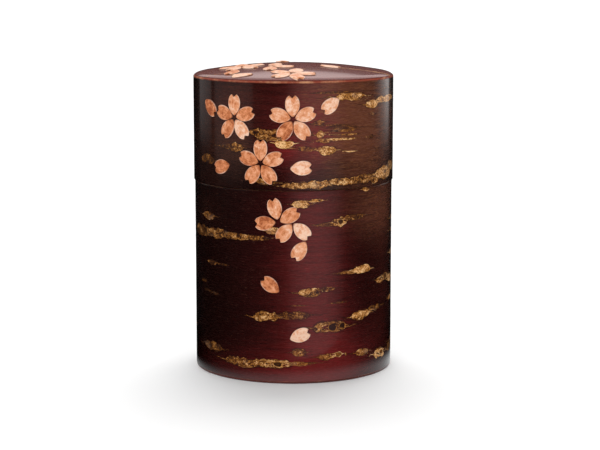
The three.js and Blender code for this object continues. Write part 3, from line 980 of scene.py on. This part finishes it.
def petalFinish():
    material, graph = newMaterial("petalBark")
    flat = millimetres(graph)
    along, side, lift, tint = (graph.add("ShaderNodeAttribute", {"attribute_name": label}, output="Fac")
                               for label in ("petalAlong", "petalSide", "petalLift", "tint"))
    blotches = graph.noise(flat, 0.32, 3.0, 0.6, 0.8)
    mottle = graph.noise(flat, 0.85, 4.0, 0.7, 0.4)
    veinPlace = graph.combine(along * 1.1, side * 2.4, tint * 31.0)
    veins = graph.noise(veinPlace, 2.4, 5.0, 0.7, 0.4)
    colour = graph.ramp(tint + (blotches - 0.5) * 1.7 + (mottle - 0.5) * 1.4 + (veins - 0.5),
                        petalColours["tints"])
    # the pale edge along a petal's sides is partly its own paler colour and partly a painted highlight, where
    # the bevel would catch the light
    rim = graph.soften(abs(side) + (veins - 0.5) * 0.4, 0.84, 1.0) * graph.soften(along, 0.15, 0.5)
    colour = graph.blendColour(rim * 0.65, colour, petalColours["rim"])
    specks = graph.soften(graph.noise(flat, 1.7, 4.0, 0.7), 0.62, 0.7)
    colour = graph.blendColour(specks * 0.4, colour, petalColours["speck"])
    heart = 1 - graph.soften(along, 0.0, 0.14)
    colour = graph.blendColour(heart * 0.4, colour, petalColours["heart"])
    # painted shade: a petal's low sides are darkened like a shadow where it meets the bark
    wall = 1 - graph.soften(lift, 0.3, 0.62)
    colour = graph.blendColour(wall * 0.8, colour, petalColours["wall"])
    return finishMaterial(material, graph, {
        "Base Color": colour, "Roughness": 0.42 + (blotches - 0.5) * 0.2, "Specular IOR Level": 0.25,
        "Coat Weight": 0.08, "Coat Roughness": 0.15,
        "Normal": bump(graph, veins * 0.5 + blotches * 0.5, 0.1 * mm)})


# five petals round a heart, each an offset from it and a direction in degrees
def flower(turn):
    for i in range(5):
        direction = turn + 72 * i
        angle = math.radians(direction)
        yield flowerStart * math.cos(angle), flowerStart * math.sin(angle), direction


# across is degrees from the front on a wall and mm on the crown, and up is mm above the base or to
# the back; a flower has a tint for each petal, from 0 dark orange to 1 pale, and a loose petal its own
def layPetals(name, flowers, loose, radius, onCrown, body, nodes, seed):
    petals = [(across, stepAcross, up + stepUp, direction, tint)
              for across, up, turn, tints in flowers
              for (stepAcross, stepUp, direction), tint in zip(flower(turn), tints)]
    petals += [(across, 0.0, up, turn, tint) for across, up, turn, tint in loose]
    across, stepAcross, up, turn, tint = np.array(petals).T
    piece = grown(name, petalTree, [(0.0, 0.0, 0.0)] * len(petals), {
        **petalSizes, "Wall Radius": radius * mm, "On Crown": 1.0 if onCrown else 0.0,
        "Crown Bottom": crownBottom * mm, "Crown Rise": crownRise * mm,
        "Shoulder Height": crown["shoulderHeight"] * mm, "Shoulder Reach": crown["shoulderReach"] * mm,
        "Material": petalMaterial,
    }, {
        "across": (across + stepAcross) * mm if onCrown else np.radians(across) + stepAcross / radius,
        "up": up * mm, "turn": np.radians(turn), "tint": tint,
        "size": np.random.default_rng(seed).uniform(*petalSpread, len(petals)),
    })
    piece.data.materials.clear()
    piece.data.materials.append(petalMaterial)
    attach(piece, body)
    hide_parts(*nodes)


petalMaterial = petalFinish()
petalNodes = [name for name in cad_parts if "petal" in name]
layPetals(
    "lidPetals",
    [(-34.4, 103.2, 90, (0.57, 0.28, 0.32, 0.88, 0.35)), (-0.2, 103.2, 92, (0.64, 0.47, 0.21, 0.6, 0.65)),
     (-18.3, 86.2, 90, (0.43, 0.28, 0.35, 0.4, 0.45))],
    [(-58.4, 109.1, -37, 0.1), (25.8, 110.9, 216, 0.8), (-37.7, 84.9, 193, 0.16), (-1.9, 84.3, 3, 0.84)],
    lidRadius, False, "lid", [n for n in petalNodes if not n.startswith(("body", "crown"))], 3)
layPetals(
    "bodyPetals", [],
    [(-8.8, 64.5, 104, 0.53), (-7.4, 63.7, 32, 0.48), (-9.8, 63.5, 186, 0.29), (-0.9, 62.9, 231, 0.6),
     (0.1, 63.1, -43, 0.85), (6.9, 56.1, 237, 0.59), (-8, 36.2, 142, 0.27), (-2.1, 17.7, 21, 0.98)],
    bodyRadius, False, "canister", [n for n in petalNodes if n.startswith("body")], 5)
layPetals(
    "crownPetals",
    [(-0.5, -30.4, 2, (0.85, 0.9, 0.7, 0.85, 0.7)), (-20.4, -8.5, 20, (0.8, 0.85, 0.7, 0.8, 0.9))],
    [(-8.6, -14.6, 264, 0.75), (-8.4, -13, 75, 0.85), (-7.8, -14.4, -6, 0.8), (-21.9, -17.4, 246, 0.45),
     (-15.4, -29, 180, 0.95), (10.4, -10, 340, 0.9), (-4.4, 15, 270, 0.75)],
    lidRadius, True, "lid", [n for n in petalNodes if n.startswith("crown")], 9)
print("petals ready")
